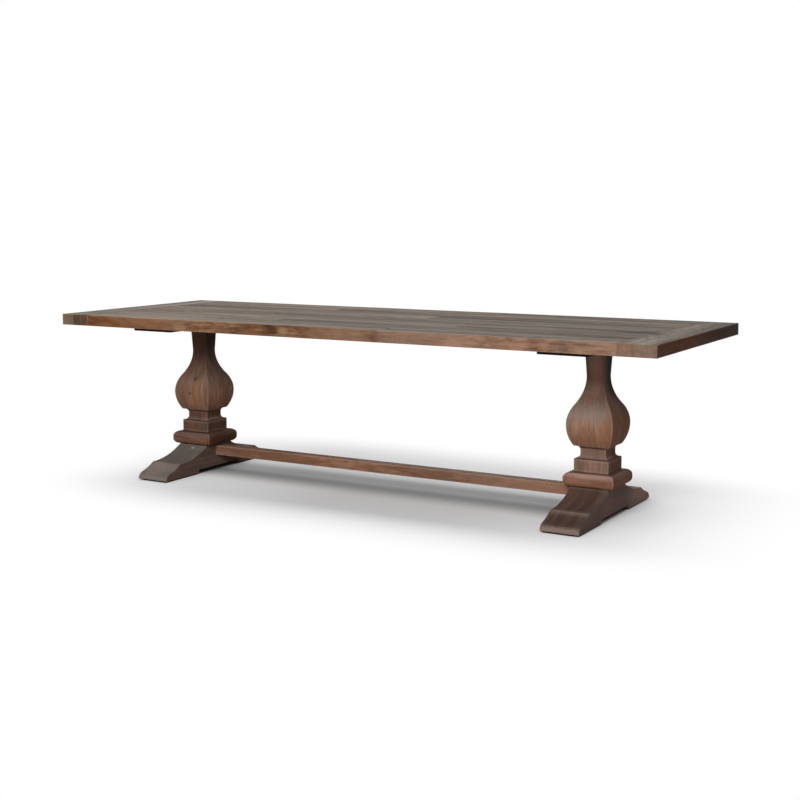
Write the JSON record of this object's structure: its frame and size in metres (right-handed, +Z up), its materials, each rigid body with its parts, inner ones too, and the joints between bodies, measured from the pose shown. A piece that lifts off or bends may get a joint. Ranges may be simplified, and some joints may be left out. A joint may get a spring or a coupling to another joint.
{
  "type": "trestle dining table",
  "caption": "Long rectangular wooden dining table with a plank top and cross boards at its ends, on square baluster pedestals with sled feet and a low stretcher.",
  "frame": {"origin": "on the floor under the middle of the tabletop", "axes": "+X along the table's length to the right, +Y to the back, +Z up"},
  "size_m": [2.8, 1, 0.75],
  "materials": {
    "plank_wood": "grey-brown stained planks, matt, brushed grain",
    "end_board_wood": "grey-brown stained boards, matt, brushed grain",
    "pedestal_wood": "brown stained hardwood with a grey wash, satin",
    "foot_wood": "brown stained hardwood with a grey wash, satin",
    "stretcher_wood": "warm brown stained hardwood, satin",
    "joint_wood": "bare beech, not seen",
    "black_board": "black stained hardwood, matt",
    "steel": "zinc plated steel",
    "glide_plastic": "black plastic"
  },
  "bodies": {
    "root": {"plank_1_left": "plank_wood", "plank_1_right": "plank_wood", "plank_2_left": "plank_wood", "plank_2_right": "plank_wood", "plank_3_left": "plank_wood", "plank_3_right": "plank_wood", "plank_4_left": "plank_wood", "plank_4_right": "plank_wood", "plank_5_left": "plank_wood", "plank_5_right": "plank_wood", "plank_6_left": "plank_wood", "plank_6_right": "plank_wood", "plank_7_left": "plank_wood", "plank_7_right": "plank_wood", "left_inner_end_board": "end_board_wood", "left_outer_end_board": "end_board_wood", "left_mounting_board": "black_board", "left_column": "pedestal_wood", "left_base_block": "pedestal_wood", "left_plinth": "pedestal_wood", "left_foot": "foot_wood", "left_front_foot_pad": "foot_wood", "left_back_foot_pad": "foot_wood", "left_tie_rod": "steel", "right_inner_end_board": "end_board_wood", "right_outer_end_board": "end_board_wood", "right_mounting_board": "black_board", "right_column": "pedestal_wood", "right_base_block": "pedestal_wood", "right_plinth": "pedestal_wood", "right_foot": "foot_wood", "right_front_foot_pad": "foot_wood", "right_back_foot_pad": "foot_wood", "right_tie_rod": "steel", "stretcher": "stretcher_wood", "plank_splines": "joint_wood", "end_splines": "joint_wood", "butt_dowels": "joint_wood", "pedestal_dowels": "joint_wood", "tie_rod_washers": "steel", "tie_rod_nuts": "steel", "mounting_screws": "steel", "stretcher_screws": "steel", "foot_glides": "glide_plastic"}
  },
  "joints": []
}
